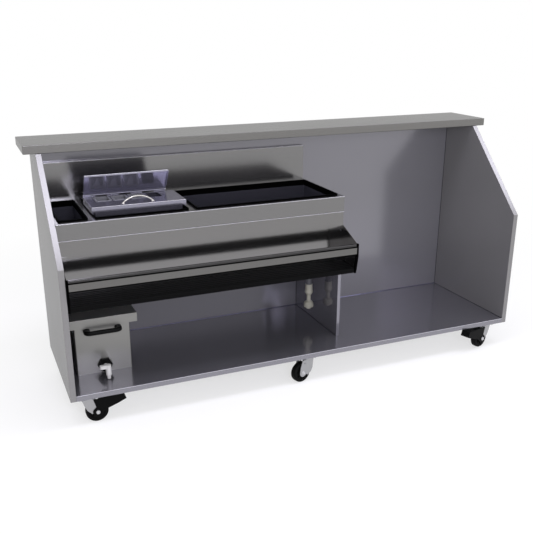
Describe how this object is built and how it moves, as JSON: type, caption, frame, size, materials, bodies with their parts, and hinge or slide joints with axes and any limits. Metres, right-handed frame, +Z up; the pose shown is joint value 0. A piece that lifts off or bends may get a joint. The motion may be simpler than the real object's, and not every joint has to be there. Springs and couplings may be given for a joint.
{
  "type": "portable bar with ice bins",
  "caption": "Wheeled stainless bar seen from the server's side: insulated ice bins, speed rail, sliding condiment tray with hinged lid, drain and pull-out waste tank.",
  "frame": {"origin": "on the floor under the middle of the overall box, at the wheels' lowest points", "axes": "+X along the bar to the right as the bartender sees it, +Y away from the bartender to the customer's side, +Z up"},
  "size_m": [2.4384, 0.7358, 1.1741],
  "materials": {
    "bar_top": "satin",
    "panel_steel": "satin",
    "inner_steel": "satin",
    "deck_steel": "satin",
    "unit_steel": "satin",
    "bin_steel": "satin",
    "casing_steel": "satin",
    "foam": "matt foam",
    "black_plastic": "matt",
    "rail_steel": "satin",
    "rail_liner": "matt",
    "band_steel": "satin",
    "screw_steel": "bright",
    "pipe_grey": "satin",
    "cream_plastic": "satin",
    "tray_steel": "satin",
    "pan_plastic": "satin",
    "handle_wire": "bright",
    "pin_steel": "bright",
    "tank_steel": "satin",
    "black_handle": "satin",
    "spigot_white": "satin",
    "caster_zinc": "bright zinc",
    "caster_bolt_zinc": "bright zinc",
    "wheel_black": "matt",
    "brake_black": "satin"
  },
  "bodies": {
    "carcass": {"bar_top": "bar_top", "left_end_panel": "panel_steel", "right_end_panel": "panel_steel", "back_panel": "inner_steel", "customer_cladding": "panel_steel", "bottom_deck": "deck_steel", "divider_panel": "inner_steel", "underbar_deck": "unit_steel", "backsplash": "unit_steel", "bin_casing": "casing_steel", "bin_insulation": "foam", "left_bin_rim": "black_plastic", "middle_bin_rim": "black_plastic", "right_bin_rim": "black_plastic", "left_bin_liner": "bin_steel", "middle_bin_liner": "bin_steel", "right_bin_liner": "bin_steel", "rail_tray": "rail_steel", "rail_floor_liner": "rail_liner", "rail_front_channel": "rail_steel", "rail_bumper": "black_plastic", "rail_band": "band_steel", "left_rail_end": "rail_steel", "right_rail_end": "rail_steel", "rail_end_trims": "black_plastic", "rail_screws": "screw_steel", "drain_strainer": "screw_steel", "drain_pipe": "pipe_grey", "drain_adaptor": "cream_plastic", "caster_plates": "caster_zinc", "caster_bolts": "caster_bolt_zinc"},
    "tray": {"tray_plate": "tray_steel", "tray_well": "tray_steel", "tray_handle": "handle_wire", "lid_hinge_pin": "pin_steel"},
    "tray_lid": {"tray_lid": "tray_steel"},
    "pan_1": {"condiment_pan_1": "pan_plastic"},
    "pan_2": {"condiment_pan_2": "pan_plastic"},
    "pan_3": {"condiment_pan_3": "pan_plastic"},
    "tank": {"tank_body": "tank_steel", "tank_handle": "black_handle", "spigot_nut": "black_handle", "spigot_barrel": "spigot_white"},
    "tank_lid": {"tank_lid": "tank_steel"},
    "spigot_tap": {"spigot_tap": "spigot_white"},
    "drain_collar": {"drain_collar": "cream_plastic"},
    "fork_front_left": {"caster_fork_front_left": "caster_zinc"},
    "wheel_front_left": {"caster_wheel_front_left": "wheel_black"},
    "brake_front_left": {"caster_brake_front_left": "brake_black"},
    "fork_front_middle": {"caster_fork_front_middle": "caster_zinc"},
    "wheel_front_middle": {"caster_wheel_front_middle": "wheel_black"},
    "fork_front_right": {"caster_fork_front_right": "caster_zinc"},
    "wheel_front_right": {"caster_wheel_front_right": "wheel_black"},
    "brake_front_right": {"caster_brake_front_right": "brake_black"},
    "fork_rear_left": {"caster_fork_rear_left": "caster_zinc"},
    "wheel_rear_left": {"caster_wheel_rear_left": "wheel_black"},
    "fork_rear_middle": {"caster_fork_rear_middle": "caster_zinc"},
    "wheel_rear_middle": {"caster_wheel_rear_middle": "wheel_black"},
    "fork_rear_right": {"caster_fork_rear_right": "caster_zinc"},
    "wheel_rear_right": {"caster_wheel_rear_right": "wheel_black"}
  },
  "joints": [
    {"name": "tray_slide", "type": "slide", "parent": "carcass", "child": "tray", "axis": [0, -1, 0], "range_m": [-0.1, 0.055]},
    {"name": "lid_hinge", "type": "hinge", "parent": "tray", "child": "tray_lid", "pos_m": [-0.7814, 0.10686, 0.9275], "axis": [-1, 0, 0], "range_deg": [-54.5, 53]},
    {"name": "pan_1_lift", "type": "slide", "parent": "tray", "child": "pan_1", "axis": [0, 0, 1], "range_m": [0, 0.03]},
    {"name": "pan_2_lift", "type": "slide", "parent": "tray", "child": "pan_2", "axis": [0, 0, 1], "range_m": [0, 0.03]},
    {"name": "pan_3_lift", "type": "slide", "parent": "tray", "child": "pan_3", "axis": [0, 0, 1], "range_m": [0, 0.03]},
    {"name": "tank_slide", "type": "slide", "parent": "carcass", "child": "tank", "axis": [0, -1, 0], "range_m": [0, 0.35]},
    {"name": "tank_lid_lift", "type": "slide", "parent": "tank", "child": "tank_lid", "axis": [0, 0, 1], "range_m": [0, 0.1]},
    {"name": "spigot_turn", "type": "hinge", "parent": "tank", "child": "spigot_tap", "pos_m": [-0.9764, -0.21914, 0.2064], "axis": [0, 0, 1], "range_deg": [-80, 80]},
    {"name": "drain_collar_turn", "type": "hinge", "parent": "carcass", "child": "drain_collar", "pos_m": [0.1416, 0.01986, 0.259], "axis": [0, 0, 1], "range_deg": [0, 90]},
    {"name": "swivel_front_left", "type": "hinge", "parent": "carcass", "child": "fork_front_left", "pos_m": [-1.0914, -0.29514, 0.117], "axis": [0, 0, 1], "continuous": true},
    {"name": "roll_front_left", "type": "hinge", "parent": "fork_front_left", "child": "wheel_front_left", "pos_m": [-1.05442, -0.29385, 0.0508], "axis": [-0.0349, 0.9994, 0], "continuous": true},
    {"name": "brake_front_left", "type": "hinge", "parent": "fork_front_left", "child": "brake_front_left", "pos_m": [-1.05442, -0.29385, 0.0508], "axis": [-0.0349, 0.9994, 0], "range_deg": [0, 8]},
    {"name": "swivel_front_middle", "type": "hinge", "parent": "carcass", "child": "fork_front_middle", "pos_m": [-0.0214, -0.29514, 0.117], "axis": [0, 0, 1], "continuous": true},
    {"name": "roll_front_middle", "type": "hinge", "parent": "fork_front_middle", "child": "wheel_front_middle", "pos_m": [-0.05714, -0.30471, 0.0508], "axis": [0.2588, -0.9659, 0], "continuous": true},
    {"name": "swivel_front_right", "type": "hinge", "parent": "carcass", "child": "fork_front_right", "pos_m": [1.0536, -0.29514, 0.117], "axis": [0, 0, 1], "continuous": true},
    {"name": "roll_front_right", "type": "hinge", "parent": "fork_front_right", "child": "wheel_front_right", "pos_m": [1.01822, -0.30596, 0.0508], "axis": [0.2924, -0.9563, 0], "continuous": true},
    {"name": "brake_front_right", "type": "hinge", "parent": "fork_front_right", "child": "brake_front_right", "pos_m": [1.01822, -0.30596, 0.0508], "axis": [0.2924, -0.9563, 0], "range_deg": [0, 8]},
    {"name": "swivel_rear_left", "type": "hinge", "parent": "carcass", "child": "fork_rear_left", "pos_m": [-1.0914, 0.22616, 0.117], "axis": [0, 0, 1], "continuous": true},
    {"name": "roll_rear_left", "type": "hinge", "parent": "fork_rear_left", "child": "wheel_rear_left", "pos_m": [-1.0576, 0.24121, 0.0508], "axis": [-0.4067, 0.9135, 0], "continuous": true},
    {"name": "swivel_rear_middle", "type": "hinge", "parent": "carcass", "child": "fork_rear_middle", "pos_m": [-0.0214, 0.22616, 0.117], "axis": [0, 0, 1], "continuous": true},
    {"name": "roll_rear_middle", "type": "hinge", "parent": "fork_rear_middle", "child": "wheel_rear_middle", "pos_m": [-0.05804, 0.23131, 0.0508], "axis": [-0.1392, -0.9903, 0], "continuous": true},
    {"name": "swivel_rear_right", "type": "hinge", "parent": "carcass", "child": "fork_rear_right", "pos_m": [1.0536, 0.22616, 0.117], "axis": [0, 0, 1], "continuous": true},
    {"name": "roll_rear_right", "type": "hinge", "parent": "fork_rear_right", "child": "wheel_rear_right", "pos_m": [1.02293, 0.20547, 0.0508], "axis": [0.5592, -0.829, 0], "continuous": true}
  ]
}
